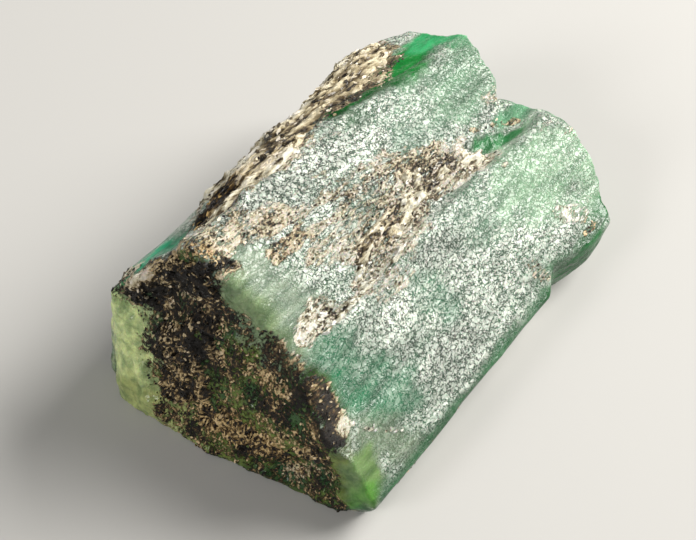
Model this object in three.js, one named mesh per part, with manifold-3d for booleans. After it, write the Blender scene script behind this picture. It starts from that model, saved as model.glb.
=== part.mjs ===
// A rough emerald crystal, lying on one flank as it was found: two six-sided beryl prisms grown
// together side by side, snapped off at both ends, with what is left of the mica schist that they
// grew in. Millimetres. X runs along the prisms from the near break to the far break, Y to the left,
// Z up, and the origin is under the middle of the stone.
import * as THREE from 'three';
import { mergeVertices } from 'three/addons/utils/BufferGeometryUtils.js';
import Module from 'manifold-3d';

const wasm = await Module();
wasm.setup();

// Driving sizes
const HALF = 11;                 // the long edges are stated at x = -HALF, 0 and +HALF
const REACH = 15;                // how far the uncut prisms run past the middle, each way
const ROW = 2;                   // spacing of their sections along X
const BIG = 60;                  // side of the blocks that stand for a break or a chip
const CRYSTAL_FACET = 1.35;      // longest side of a worked facet on bare crystal
const CRUST_FACET = 0.95;        // and on mica
const UNDERSIDE_FACET = 5;       // and on the flat underside
const GAP = 0.1;                 // left between a crust and its bed in the crystal
const SKIN = 0.3;                // a point this little behind the near break lies on its face
const BREAK_BAND = 1.2;          // how far from a break its roughness reaches
const FOOT = 0.9;                // height over which the relief fades in above the flat underside
const FOOT_DRIFT = 0.4;          // share of the sideways relief that the underside's rim keeps

// The long edges of the two prisms, each by its place (y, z) at the near end, the middle and the
// far end, in order round the section: up the left side, over the ridge and down the right side.
const LEFT_PRISM = {
  leftFoot: [[7.4, 0.0], [7.6, 0.0], [6.4, 0.0]],
  leftWaist: [[7.3, 2.6], [8.1, 3.0], [7.6, 2.4]],
  leftShoulder: [[6.3, 6.4], [7.2, 5.5], [7.8, 4.3]],
  crustEdge: [[3.6, 8.8], [5.9, 7.25], [7.4, 5.6]],
  crest: [[2.7, 10.5], [3.7, 8.6], [3.6, 6.7]],
  face: [[0.0, 9.3], [0.6, 7.6], [0.9, 5.9]],
  seam: [[-2.1, 7.7], [-1.7, 6.0], [-1.0, 5.2]],
  hiddenWaist: [[-2.4, 6.5], [-2.2, 5.0], [-1.4, 4.0]],
  hiddenFoot: [[-2.4, 0.0], [-2.2, 0.0], [-1.4, 0.0]],
};
const RIGHT_PRISM = {
  hiddenFoot: [[-0.6, 0.0], [0.0, 0.0], [2.0, 0.0]],
  hiddenWaist: [[-0.6, 6.8], [0.0, 5.4], [0.6, 5.0]],
  seam: [[-1.7, 7.4], [-1.0, 5.8], [-1.4, 4.9]],
  crest: [[-2.8, 7.3], [-2.2, 6.35], [-2.1, 5.4]],
  face: [[-5.6, 4.4], [-5.0, 4.2], [-4.4, 3.8]],
  rightEdge: [[-7.5, 1.6], [-7.4, 2.1], [-6.9, 1.7]],
  rightFoot: [[-6.8, 0.0], [-6.3, 0.0], [-5.8, 0.0]],
};

// Breaks: a point on the new face, and the way that face looks
const NEAR_BREAKS = [
  { at: [-12.2, 3.0, 0.0], faces: [-0.96, -0.06, 0.27] },      // the main face of the near break
  { at: [-12.4, 5.4, 0.0], faces: [-0.85, 0.51, 0.12] },       // its left corner
  { at: [-11.4, -2.6, 0.0], faces: [-0.97, -0.20, 0.12] },     // right of its middle
  { at: [-10.4, -6.0, 0.0], faces: [-0.78, -0.51, -0.36] },    // its right corner, undercut
];
const LEFT_BREAKS = [
  { at: [11.3, 3.65, 6.7], faces: [0.96, -0.27, -0.12] },      // far break, right of the ridge
  { at: [10.5, 1.0, 5.9], faces: [0.61, -0.79, -0.05] },       // into the notch between the prisms
  { at: [11.2, 4.0, 6.0], faces: [0.92, 0.38, -0.15] },        // left of the ridge
  { at: [8.9, 7.5, 5.6], faces: [0.62, 0.78, 0.10] },          // left corner
];
const RIGHT_BREAKS = [
  { at: [10.8, -0.7, 5.0], faces: [0.95, 0.30, -0.08] },       // far break, behind the notch
  { at: [10.5, -2.2, 5.4], faces: [0.70, -0.16, 0.70] },       // worn end of the ridge
  { at: [11.2, -3.4, 4.3], faces: [0.96, -0.22, -0.15] },      // right of the ridge
  { at: [10.2, -5.5, 2.8], faces: [0.85, -0.51, -0.12] },      // right corner
];
// A chip leaves two faces that meet in an inner corner
const RIGHT_CHIP = [
  { at: [4.9, -6.4, 1.0], faces: [-0.10, -0.99, -0.10] },      // the flank that it bared
  { at: [3.2, -7.3, 2.0], faces: [0.50, -0.86, 0.00] },        // the step at its near end
];

// What is left of the schist. Each crust has an outline, seen along one axis, and a depth.
// On the near break, outline in (y, z):
const END_CRUST = {
  swells: [-1, 0, 0.25],         // the way in which it stands proud
  depth: 0.75,
  deepest: -8.6,                 // x that it never reaches
  outline: [
    [7.6, 6.0], [6.6, 7.6], [4.6, 9.6], [2.8, 11.4], [1.4, 10.6], [0.9, 8.5], [-0.2, 7.8],
    [-1.3, 7.1], [-2.3, 6.5], [-3.1, 6.2], [-4.0, 5.5], [-4.8, 4.6], [-5.4, 3.4], [-5.8, 2.0],
    [-6.4, 1.1], [-6.2, 0.4], [-3.6, 0.35], [1.4, 0.35], [3.2, 0.6], [4.1, 1.5], [4.7, 2.6],
    [5.4, 3.4], [5.8, 4.8], [6.4, 5.5],
  ],
};
// Down the left flank, outline in (x, y):
const FLANK_CRUST = {
  swells: [0, 0.7, 0.7],
  inward: [0, -0.5, -0.45],      // from the surface to its bed
  lowest: 2.4,                   // z that it never reaches
  outline: [
    [-8.5, 4.1], [-7.9, 3.6], [-6.5, 3.1], [-4.8, 3.4], [-2.6, 3.3], [-1.1, 3.8], [0.8, 4.4],
    [2.3, 4.3], [3.6, 4.8], [5.0, 4.6], [6.2, 4.9], [7.3, 5.2], [8.3, 5.9], [8.9, 7.0],
    [8.6, 9.5], [-4.2, 9.5], [-5.4, 5.9], [-7.2, 5.0],
  ],
  // and how far it hangs down the side, outline in (x, z):
  side: [
    [-10.0, 12.0], [-9.0, 7.4], [-6.6, 6.4], [-5.2, 6.7], [-4.0, 4.6], [-2.4, 4.2], [-1.2, 3.3],
    [0.4, 4.3], [1.8, 3.4], [3.4, 2.7], [5.0, 3.6], [6.4, 3.0], [7.6, 4.2], [9.4, 4.8], [9.8, 12.0],
  ],
};
// Along the seam between the prisms, outline in (x, y):
const SEAM_CRUST = {
  swells: [0, 0, 1],
  inward: [0, 0, -0.55],
  lowest: 3.0,
  outline: [
    [-8.6, -2.9], [-8.7, -1.9], [-7.2, -1.8], [-5.0, -2.0], [-4.2, -1.3], [-3.5, -0.5],
    [-1.1, -0.1], [0.4, -0.2], [1.3, 0.5], [2.9, 0.2], [4.4, 0.3], [6.1, -0.3], [7.3, -1.2],
    [5.9, -1.9], [4.6, -1.5], [3.1, -1.3], [1.5, -1.5], [-0.3, -2.1], [-2.2, -2.7],
    [-4.7, -2.8], [-7.1, -3.1],
  ],
};

// Relief that is more than roughness: a lump or a hollow, by its middle, its reach and how far
// its middle is pushed.
const FORMS = [
  { at: [-0.5, 6.1, 7.1], reach: 1.3, push: [0.0, 0.25, 0.15] },      // green knob on the left edge
  { at: [6.2, 7.3, 6.1], reach: 2.6, push: [0.1, 0.40, 0.15] },       // swelling of the left edge
  { at: [-7.6, 5.0, 8.0], reach: 1.8, push: [0.0, -0.35, -0.15] },    // nick in the left edge
  { at: [-9.4, -0.8, 8.2], reach: 2.6, push: [0.55, 0.0, -0.65] },    // worn corner of the near break
  { at: [-11.1, 5.4, 5.6], reach: 1.5, push: [0.50, 0.0, 0.0] },      // hollow under the near ledge
  { at: [-10.7, 3.6, 6.8], reach: 1.8, push: [0.55, 0.0, 0.0] },
  { at: [-10.3, 1.6, 7.6], reach: 1.6, push: [0.45, 0.0, 0.0] },
  { at: [-12.2, 4.2, 0.4], reach: 3.0, push: [-0.45, 0.20, 0.0] },    // swelling at the near foot
  { at: [-11.0, -4.6, 3.4], reach: 1.8, push: [0.35, 0.0, 0.0] },     // hollow beside the right rim
  { at: [8.0, 2.2, 6.7], reach: 2.6, push: [0.0, 0.0, -0.22] },       // dip in the far left face
  { at: [3.6, -4.6, 4.4], reach: 3.0, push: [0.0, -0.10, 0.20] },     // swelling of the right face
  { at: [8.2, -5.0, 3.4], reach: 2.0, push: [0.0, 0.05, -0.20] },     // dip by the far right corner
  { at: [6.8, -6.7, 1.0], reach: 2.8, push: [0.0, -0.50, 0.0] },      // swelling of the far right foot
  { at: [10.3, 4.5, 2.6], reach: 3.2, push: [-0.60, 0.0, 0.0] },      // scoop in the far break
  { at: [10.6, -2.4, 2.2], reach: 2.8, push: [-0.50, 0.10, 0.0] },
  { at: [1.5, 7.6, 1.8], reach: 3.4, push: [0.0, -0.50, 0.0] },       // scoop in the left flank
];
// Roughness: vector noise of one cell size (mm, along and across the prisms) and height (mm)
const ROUGHNESS = {
  swell: { cell: [6.0, 4.0], height: [0.10, 0.22, 0.16], seed: 11 },
  ribs: { cell: [7.0, 1.5], height: [0.00, 0.09, 0.11], seed: 23 },
  breaks: { cell: [1.7, 1.7], height: [0.34, 0.08, 0.10], seed: 37 },
  crust: { cell: [1.8, 1.2], height: [0.16, 0.16, 0.20], seed: 53 },
};
const SEED_STEP = 7;             // from one axis of a roughness to the next
const CRUST_SWELL = 0.10;        // how far a crust stands proud of the crystal beside it

const vec = (p) => new THREE.Vector3(...p);

// A long edge at any x, on the parabola through its three places
function edgeAt([near, middle, far], x) {
  const u = x / HALF;
  return near.map((n, i) => middle[i] + (far[i] - n) / 2 * u + ((n + far[i]) / 2 - middle[i]) * u * u);
}

// A closed body through a row of sections, each a list of (y, z) in the same order round
function loft(xs, sectionAt) {
  const points = [];
  const faces = [];
  const sections = xs.map(sectionAt);
  const sides = sections[0].length;
  xs.forEach((x, row) => sections[row].forEach(([y, z]) => points.push(x, y, z)));
  for (let row = 0; row + 1 < xs.length; row += 1) {
    for (let side = 0; side < sides; side += 1) {
      const a = row * sides + side;
      const b = row * sides + (side + 1) % sides;
      faces.push(a, b, a + sides, b, b + sides, a + sides);
    }
  }
  for (const row of [0, xs.length - 1]) {
    const hub = points.length / 3;
    const mean = (i) => sections[row].reduce((sum, p) => sum + p[i], 0) / sides;
    points.push(xs[row], mean(0), mean(1));
    for (let side = 0; side < sides; side += 1) {
      const a = row * sides + side;
      const b = row * sides + (side + 1) % sides;
      faces.push(...(row === 0 ? [hub, b, a] : [hub, a, b]));
    }
  }
  const shape = new THREE.BufferGeometry();
  shape.setAttribute('position', new THREE.Float32BufferAttribute(points, 3));
  shape.setIndex(faces);
  return shape;
}

function solid(shape) {
  const bare = shape.clone();
  bare.deleteAttribute('normal');
  bare.deleteAttribute('uv');
  const merged = mergeVertices(bare);
  return new wasm.Manifold(new wasm.Mesh({
    numProp: 3,
    vertProperties: new Float32Array(merged.attributes.position.array),
    triVerts: new Uint32Array(merged.index.array),
  }));
}

function shapeOf(body) {
  const mesh = body.getMesh();
  const shape = new THREE.BufferGeometry();
  shape.setAttribute('position', new THREE.Float32BufferAttribute(mesh.vertProperties, 3));
  shape.setIndex([...mesh.triVerts]);
  return shape;
}

// Everything in front of a break: a big block whose base lies on the new face
function waste({ at, faces }) {
  const block = new THREE.BoxGeometry(BIG, BIG, BIG);
  const out = vec(faces).normalize();
  block.translate(0, 0, BIG / 2);
  block.applyQuaternion(new THREE.Quaternion().setFromUnitVectors(new THREE.Vector3(0, 0, 1), out));
  block.translate(...at);
  return solid(block);
}

function prism(edges, breaks) {
  const rows = Array.from({ length: 2 * REACH / ROW + 1 }, (_, i) => i * ROW - REACH);
  const whole = solid(loft(rows, (x) => Object.values(edges).map((edge) => edgeAt(edge, x))));
  return breaks.reduce((rest, face) => rest.subtract(waste(face)), whole);
}

// Splits every side that is too long at its middle, until none is, and keeps the mesh closed
function refine(shape, longestAt) {
  const points = [...shape.attributes.position.array];
  let faces = [...shape.index.array];
  const place = (i) => points.slice(3 * i, 3 * i + 3);
  const mean = (values) => values.reduce((sum, value) => sum + value, 0) / values.length;
  const meanOf = (...ids) => [0, 1, 2].map((i) => mean(ids.map((id) => points[3 * id + i])));
  const span = (a, b) => Math.hypot(...place(a).map((value, i) => value - points[3 * b + i]));
  const longest = (sides) => sides.reduce((best, side) => (span(...side) > span(...best) ? side : best));
  const key = (a, b) => `${Math.min(a, b)} ${Math.max(a, b)}`;
  for (;;) {
    const middles = new Map();
    for (let i = 0; i < faces.length; i += 3) {
      const [a, b] = longest([0, 1, 2].map((k) => [faces[i + k], faces[i + (k + 1) % 3]]));
      if (!middles.has(key(a, b)) && span(a, b) > longestAt(meanOf(...faces.slice(i, i + 3)))) {
        middles.set(key(a, b), points.length / 3);
        points.push(...meanOf(a, b));
      }
    }
    if (middles.size === 0) {
      break;
    }
    const next = [];
    const split = (a, b, c) => {
      const marked = [[a, b], [b, c], [c, a]].filter((side) => middles.has(key(...side)));
      if (marked.length === 0) {
        next.push(a, b, c);
        return;
      }
      const [p, q] = longest(marked);
      const across = [a, b, c].find((i) => i !== p && i !== q);
      const middle = middles.get(key(p, q));
      split(p, middle, across);
      split(middle, q, across);
    };
    for (let i = 0; i < faces.length; i += 3) {
      split(faces[i], faces[i + 1], faces[i + 2]);
    }
    faces = next;
  }
  const finer = new THREE.BufferGeometry();
  finer.setAttribute('position', new THREE.Float32BufferAttribute(points, 3));
  finer.setIndex(faces);
  return finer;
}

// Repeatable value in -1..1 at each corner of a lattice
function latticeValue(i, j, k, seed) {
  let h = Math.imul(i, 374761393) ^ Math.imul(j, 668265263) ^ Math.imul(k, 2147483647 ^ seed * 97);
  h = Math.imul(h ^ (h >>> 13), 1274126177 + seed);
  h = Math.imul(h ^ (h >>> 16), 2246822519);
  return ((h ^ (h >>> 15)) >>> 0) / 2147483648 - 1;
}

const ease = (t) => t * t * (3 - 2 * t);
const clamp = (t) => Math.min(1, Math.max(0, t));

function noise(place, seed) {
  const base = place.map(Math.floor);
  const [u, v, w] = place.map((value, i) => ease(value - base[i]));
  let sum = 0;
  for (const [i, j, k] of [0, 1, 2, 3, 4, 5, 6, 7].map((n) => [n & 1, (n >> 1) & 1, n >> 2])) {
    const share = (i ? u : 1 - u) * (j ? v : 1 - v) * (k ? w : 1 - w);
    sum += share * latticeValue(base[0] + i, base[1] + j, base[2] + k, seed);
  }
  return sum;
}

function rough({ cell: [along, across], height, seed }, p) {
  const place = [p[0] / along, p[1] / across, p[2] / across];
  return height.map((size, i) => size * noise(place, seed + i * SEED_STEP));
}

function inside(outline, a, b) {
  let within = false;
  outline.forEach(([a1, b1], i) => {
    const [a2, b2] = outline[(i + 1) % outline.length];
    if ((b1 > b) !== (b2 > b) && a < a1 + (b - b1) / (b2 - b1) * (a2 - a1)) {
      within = !within;
    }
  });
  return within;
}

// How far a point lies behind a break
function depthBehind({ at, faces }, p) {
  const out = vec(faces).normalize();
  return -out.dot(vec(p).sub(vec(at)));
}

const nearDepth = (p) => Math.min(...NEAR_BREAKS.map((face) => depthBehind(face, p)));
const FAR_BREAKS = [...LEFT_BREAKS, ...RIGHT_BREAKS];
const farDepth = (p) => Math.min(...FAR_BREAKS.map((face) => Math.abs(depthBehind(face, p))));

// The crust that covers a point, or null where there is none
function crustAt(p) {
  const [x, y, z] = p;
  if (nearDepth(p) < SKIN && inside(END_CRUST.outline, y, z)) {
    return END_CRUST;
  }
  if (inside(FLANK_CRUST.outline, x, y) && inside(FLANK_CRUST.side, x, z)) {
    return FLANK_CRUST;
  }
  if (z > SEAM_CRUST.lowest && inside(SEAM_CRUST.outline, x, y)) {
    return SEAM_CRUST;
  }
  return null;
}

// The longest side that a facet may have there
function facetAt(p) {
  if (p[2] === 0) {
    return UNDERSIDE_FACET;
  }
  return crustAt(p) ? CRUST_FACET : CRYSTAL_FACET;
}

// Where a point of the stone's surface lies once the relief is worked in
function weathered(p) {
  const moves = [rough(ROUGHNESS.swell, p), rough(ROUGHNESS.ribs, p)];
  const broken = clamp(1 - Math.min(nearDepth(p), farDepth(p)) / BREAK_BAND);
  moves.push(rough(ROUGHNESS.breaks, p).map((value) => value * broken));
  const crust = crustAt(p);
  if (crust) {
    moves.push(rough(ROUGHNESS.crust, p), crust.swells.map((value) => value * CRUST_SWELL));
  }
  for (const { at, reach, push } of FORMS) {
    const near = clamp(1 - (Math.hypot(...at.map((value, i) => value - p[i])) / reach) ** 2);
    moves.push(push.map((value) => value * near * near));
  }
  const lift = ease(clamp(p[2] / FOOT));
  const drift = FOOT_DRIFT + (1 - FOOT_DRIFT) * lift;
  const sum = (i) => moves.reduce((total, move) => total + move[i], 0);
  return [p[0] + sum(0) * drift, p[1] + sum(1) * drift, p[2] + sum(2) * lift];
}

function weather(shape) {
  const places = shape.attributes.position;
  for (let i = 0; i < places.count; i += 1) {
    places.setXYZ(i, ...weathered([places.getX(i), places.getY(i), places.getZ(i)]));
  }
  return shape;
}

// An outline moved inwards by a margin; its points run clockwise or the other way
function inset(outline, margin) {
  const area = outline.reduce((sum, [a, b], i) => {
    const [c, d] = outline[(i + 1) % outline.length];
    return sum + a * d - b * c;
  }, 0);
  const turn = Math.sign(area);
  const inward = ([a, b], [c, d]) => {
    const size = Math.hypot(c - a, d - b);
    return [-turn * (d - b) / size, turn * (c - a) / size];
  };
  return outline.map((p, i) => {
    const before = inward(outline.at(i - 1), p);
    const after = inward(p, outline[(i + 1) % outline.length]);
    const share = margin / (1 + before[0] * after[0] + before[1] * after[1]);
    return [p[0] + (before[0] + after[0]) * share, p[1] + (before[1] + after[1]) * share];
  });
}

function extruded(outline, from, to) {
  const shape = new THREE.Shape(outline.map(([a, b]) => new THREE.Vector2(a, b)));
  return new THREE.ExtrudeGeometry(shape, { depth: to - from, bevelEnabled: false }).translate(0, 0, from);
}

// The room of a crust: its outline through the stone, above its bed. A margin makes it smaller
// all round, which gives the crust itself.
function endRoom({ outline, depth, deepest }, margin) {
  const through = extruded(inset(outline, margin), -REACH, deepest - margin);
  through.applyMatrix4(new THREE.Matrix4().set(0, 0, 1, 0, 1, 0, 0, 0, 0, 1, 0, 0, 0, 0, 0, 1));
  const sunk = NEAR_BREAKS.map(({ at, faces }) => {
    const bed = vec(at).addScaledVector(vec(faces).normalize(), margin - depth);
    return waste({ at: bed.toArray(), faces });
  });
  return solid(through).intersect(sunk.reduce((all, one) => all.add(one)));
}

function topRoom({ outline, side, inward, lowest }, margin, whole) {
  let through = solid(extruded(inset(outline, margin), lowest, REACH));
  if (side) {
    const across = extruded(inset(side, margin), -REACH, REACH).rotateX(Math.PI / 2);
    through = through.intersect(solid(across));
  }
  const share = 1 - margin / Math.hypot(...inward);
  const bed = shapeOf(whole).translate(...inward.map((value) => value * share));
  return through.subtract(solid(bed));
}

const leftPrism = prism(LEFT_PRISM, [...NEAR_BREAKS, ...LEFT_BREAKS]);
const rightPrism = prism(RIGHT_PRISM, [...NEAR_BREAKS, ...RIGHT_BREAKS])
  .subtract(waste(RIGHT_CHIP[0]).intersect(waste(RIGHT_CHIP[1])));
const whole = leftPrism.add(rightPrism);
const stone = solid(weather(refine(shapeOf(whole), facetAt)));
const rooms = {
  mica_crust_end: (margin) => endRoom(END_CRUST, margin),
  mica_crust_flank: (margin) => topRoom(FLANK_CRUST, margin, whole),
  mica_crust_seam: (margin) => topRoom(SEAM_CRUST, margin, whole),
};
const crystal = Object.values(rooms).reduce((rest, room) => rest.subtract(room(0)), stone);

const BERYL = new THREE.MeshStandardMaterial({ color: 0x4f9c78, roughness: 0.4, metalness: 0 });
const MICA = new THREE.MeshStandardMaterial({ color: 0x6e5a3c, roughness: 0.7, metalness: 0 });

function part(name, body, material) {
  const mesh = new THREE.Mesh(shapeOf(body), material.clone());
  mesh.name = name;
  return mesh;
}

const group = new THREE.Group();
group.add(part('emerald_crystal', crystal, BERYL));
for (const [name, room] of Object.entries(rooms)) {
  group.add(part(name, stone.intersect(room(GAP)), MICA));
}
const box = new THREE.Box3().setFromObject(group);
const middle = box.getCenter(new THREE.Vector3());
group.position.set(-middle.x, -middle.y, -box.min.z);
export default group;
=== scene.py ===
# %% [markdown]
# # A rough emerald crystal
# The stone is two six-sided prisms of green beryl that grew side by side in mica schist. Its prism
# faces are frosted and finely streaked, its ends are broken, and brown and cream mica still clings
# to one end, to one edge and to the seam between the prisms. This lesson dresses the measured
# solids, one piece and one finish at a time. Everything is in metres in the stone's own frame:
# X runs along the prisms, Y to the left, Z up, and the origin is under the middle of the stone.

# %% Load the measured solids
import math

import bmesh
import bpy
import numpy as np
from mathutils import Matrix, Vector, noise
from mathutils.bvhtree import BVHTree


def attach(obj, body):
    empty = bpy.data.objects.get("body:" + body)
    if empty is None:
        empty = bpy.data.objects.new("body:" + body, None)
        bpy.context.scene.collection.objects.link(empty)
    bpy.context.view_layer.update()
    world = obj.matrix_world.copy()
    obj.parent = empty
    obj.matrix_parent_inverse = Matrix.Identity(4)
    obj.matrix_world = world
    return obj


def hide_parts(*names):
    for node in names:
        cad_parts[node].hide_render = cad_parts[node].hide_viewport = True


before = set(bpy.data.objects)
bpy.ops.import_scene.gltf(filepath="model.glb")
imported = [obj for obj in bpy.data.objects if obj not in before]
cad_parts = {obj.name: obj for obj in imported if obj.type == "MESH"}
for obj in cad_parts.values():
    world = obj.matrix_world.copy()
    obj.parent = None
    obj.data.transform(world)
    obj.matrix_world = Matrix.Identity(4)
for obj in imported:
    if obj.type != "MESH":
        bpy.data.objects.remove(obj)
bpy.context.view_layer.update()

MM = 0.001
scene = bpy.context.scene

# %% [markdown]
# ## Camera
# The portrait was taken from close above, so the near end looks much larger than the far end. A
# camera with the same view stands about 51 mm above the table, looks down at 51 degrees, and looks
# 52 degrees off the run of the prisms. The lens is given by its focal length in pixels of the 696
# pixel wide picture. The near clipping distance is small, because the camera is so close.

# %% Camera
PICTURE_WIDTH = 696
FOCAL_PIXELS = 1320
CAMERA_PLACE = Vector((-31.52, -23.47, 50.95)) * MM
LOOK_DOWN = math.radians(51.3)
TURN = math.radians(-51.6)

lens = bpy.data.cameras.new("portrait_camera")
lens.sensor_width = 36.0
lens.lens = lens.sensor_width * FOCAL_PIXELS / PICTURE_WIDTH
lens.clip_start = 1 * MM
camera = bpy.data.objects.new("portrait_camera", lens)
camera.location = CAMERA_PLACE
camera.rotation_euler = (math.pi / 2 - LOOK_DOWN, 0, TURN)
scene.collection.objects.link(camera)
scene.camera = camera
print("camera", tuple(round(v / MM, 1) for v in camera.location), "mm, lens", round(lens.lens, 1))

# %% [markdown]
# ## Floor and light
# A plain pale floor keeps the eye on the stone. The frosted faces only show their grey-white sheen
# when they mirror a broad soft light into the camera, so the main light stands where a face that
# slopes like the two prism faces would reflect it: behind the stone and to the right. A weak fill
# from the left lights the broken end, which faces away from the main light.

# %% Floor and light
scene.view_settings.view_transform = "Standard"


def area_light(name, towards, distance, size, power, tint):
    """A soft light that looks at the stone from a direction; sizes in metres, power in watts."""
    lamp = bpy.data.lights.new(name, "AREA")
    lamp.shape = "RECTANGLE"
    lamp.size, lamp.size_y = size
    lamp.energy = power
    lamp.color = tint
    made = bpy.data.objects.new(name, lamp)
    made.location = Vector(towards).normalized() * distance
    made.rotation_euler = Vector(towards).to_track_quat("Z", "Y").to_euler()
    scene.collection.objects.link(made)
    return made


LIGHTS = [
    # name, towards, distance, size, power, tint
    ("main_light", (0.73, -0.36, 0.56), 0.30, (0.20, 0.17), 1.85, (1.0, 0.98, 0.94)),
    ("fill_light", (-0.80, 0.25, 0.50), 0.35, (0.12, 0.12), 0.44, (1.0, 0.99, 0.97)),
]
for light in LIGHTS:
    area_light(*light)

ROOM_TINT = (0.98, 0.98, 0.96, 1)
ROOM_STRENGTH = 0.20
world = bpy.data.worlds.new("studio")
scene.world = world
world.use_nodes = True
room = world.node_tree.nodes["Background"]
room.inputs["Color"].default_value = ROOM_TINT
room.inputs["Strength"].default_value = ROOM_STRENGTH

FLOOR_SIDE = 1.2
bpy.ops.mesh.primitive_plane_add(size=FLOOR_SIDE)
floor = bpy.context.object
floor.name = "floor"

# %% [markdown]
# ## A short way to write node trees
# Materials and geometry rules are both trees of nodes. `Tree.node` makes any node from its type,
# its settings and its inputs. A `Wire` is a socket that can be added, subtracted and multiplied
# like a number, so a formula reads as a formula.

# %% Wires and trees
class Wire:
    """A socket; a sign between two wires adds the Math node that does the sum."""

    def __init__(self, tree, socket):
        self.tree = tree
        self.socket = socket

    def sum(self, operation, first, second):
        return self.tree.node("ShaderNodeMath", {"operation": operation}, {0: first, 1: second})

    def __add__(self, other):
        return self.sum("ADD", self, other)

    def __sub__(self, other):
        return self.sum("SUBTRACT", self, other)

    def __rsub__(self, other):
        return self.sum("SUBTRACT", other, self)

    def __mul__(self, other):
        return self.sum("MULTIPLY", self, other)

    __radd__ = __add__
    __rmul__ = __mul__


class Tree:
    """A node tree with short ways to add what these finishes and rules need."""

    def __init__(self, tree):
        self.tree = tree

    def node(self, kind, settings=None, inputs=None, out=0):
        """Adds a node; out is the number of the output that is wanted, or several numbers."""
        made = self.tree.nodes.new(kind)
        for name, value in (settings or {}).items():
            if name == "stops":
                self.set_stops(made.color_ramp, value)
            else:
                setattr(made, name, value)
        for name, value in (inputs or {}).items():
            if isinstance(value, Wire):
                self.tree.links.new(value.socket, made.inputs[name])
            else:
                made.inputs[name].default_value = value
        if isinstance(out, tuple):
            return [Wire(self, made.outputs[each]) for each in out]
        return Wire(self, made.outputs[out])

    def set_stops(self, ramp, stops):
        """Gives a colour ramp its (position, red, green, blue) stops."""
        while len(ramp.elements) < len(stops):
            ramp.elements.new(1.0)
        for element, (position, red, green, blue) in zip(ramp.elements, stops):
            element.position = position
            element.color = (red, green, blue, 1)

    def vector(self, operation, first, second, out=0):
        settings = {"operation": operation}
        return self.node("ShaderNodeVectorMath", settings, {0: first, 1: second}, out)

    def step(self, value, low, high):
        """0 below low, 1 above high, smooth between; low may be the larger one."""
        settings = {"interpolation_type": "SMOOTHSTEP"}
        inputs = {"Value": value, "From Min": low, "From Max": high}
        return self.node("ShaderNodeMapRange", settings, inputs)

    def beside_middle(self, value, width):
        """0 where a noise crosses its middle value, 1 farther than the width from it."""
        away = self.node("ShaderNodeMath", {"operation": "ABSOLUTE"}, {0: value - 0.5})
        return self.step(away, 0.0, width)

    def millimetres(self):
        """Object coordinates in millimetres."""
        return self.vector("MULTIPLY", self.node("ShaderNodeTexCoord", out=3), (1000, 1000, 1000))

    def noise(self, place, size, detail=3.0, roughness=0.55, stretch=(1, 1, 1), shift=(0, 0, 0)):
        """Noise about 0.5 with lumps of one size (mm), longer along stretched axes."""
        cells = tuple(1 / (size * s) for s in stretch)
        shifted = self.vector("ADD", self.vector("MULTIPLY", place, cells), shift)
        inputs = {"Vector": shifted, "Scale": 1.0, "Detail": detail, "Roughness": roughness}
        return self.node("ShaderNodeTexNoise", {}, inputs)

    def facets(self, place, size, slope, stretch=(1, 1, 1)):
        """Small flat grains, each tilted its own way: a height (mm) and a chance for each."""
        cells = tuple(1 / (size * s) for s in stretch)
        spaced = self.vector("MULTIPLY", place, cells)
        inputs = {"Vector": spaced, "Scale": 1.0}
        colour, middle = self.node("ShaderNodeTexVoronoi", {}, inputs, out=(1, 2))
        lean = self.vector("SUBTRACT", colour, (0.5, 0.5, 0.5))
        height = self.vector("DOT_PRODUCT", self.vector("SUBTRACT", spaced, middle), lean, out=1)
        chance = self.vector("DOT_PRODUCT", colour, (0.61, 0.0, 0.39), out=1)
        return height * (slope * size), chance

    def mix(self, share, first, second, blend="MIX"):
        """Colour mix; share 0 gives the first, 1 the second."""
        settings = {"data_type": "RGBA", "blend_type": blend}
        return self.node("ShaderNodeMix", settings, {0: share, 6: first, 7: second}, out=2)

    def attribute(self, name, out):
        """A value stored on the mesh: out 0 is its colour, 2 its number."""
        return self.node("ShaderNodeAttribute", {"attribute_name": name}, out=out)

    def bump(self, height):
        """Turns a height in millimetres into the surface's slope."""
        return self.node("ShaderNodeBump", {}, {"Strength": 1.0, "Distance": MM, "Height": height})


print("helpers ready")

# %% [markdown]
# ## From measured solid to fine mesh
# The solids have facets about a millimetre wide. A voxel remesh rebuilds the same form from small
# even faces, which relief can then move, and smoothing rounds the facets' edges. The solids
# themselves are never changed: the work is done on merged copies.

# %% Points, distances and noise on a mesh
def merged_copy(node):
    """A copy of one solid's mesh whose loose triangles are joined at their corners."""
    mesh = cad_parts[node].data.copy()
    mesh.materials.clear()
    shell = bmesh.new()
    shell.from_mesh(mesh)
    bmesh.ops.remove_doubles(shell, verts=shell.verts, dist=0.0005 * MM)
    bmesh.ops.recalc_face_normals(shell, faces=shell.faces)
    shell.to_mesh(mesh)
    shell.free()
    return mesh


def points_of(mesh):
    """The mesh's points in millimetres."""
    flat = np.empty(len(mesh.vertices) * 3)
    mesh.vertices.foreach_get("co", flat)
    return flat.reshape(-1, 3) / MM


def normals_of(mesh):
    """The direction that each point of the mesh faces."""
    flat = np.empty(len(mesh.vertices) * 3)
    mesh.vertex_normals.foreach_get("vector", flat)
    return flat.reshape(-1, 3)


def place_points(mesh, points):
    """Moves the mesh's points to new places in millimetres."""
    mesh.vertices.foreach_set("co", (points * MM).ravel())
    mesh.update()


def searcher(mesh):
    """A tree that finds the nearest place on a mesh, in millimetres."""
    faces = [tuple(face.vertices) for face in mesh.polygons]
    return BVHTree.FromPolygons(points_of(mesh).tolist(), faces)


def distance(points, *trees):
    """How far each point is from the nearest of some meshes, in millimetres."""
    return np.array([min(tree.find_nearest(p)[3] for tree in trees) for p in points.tolist()])


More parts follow.
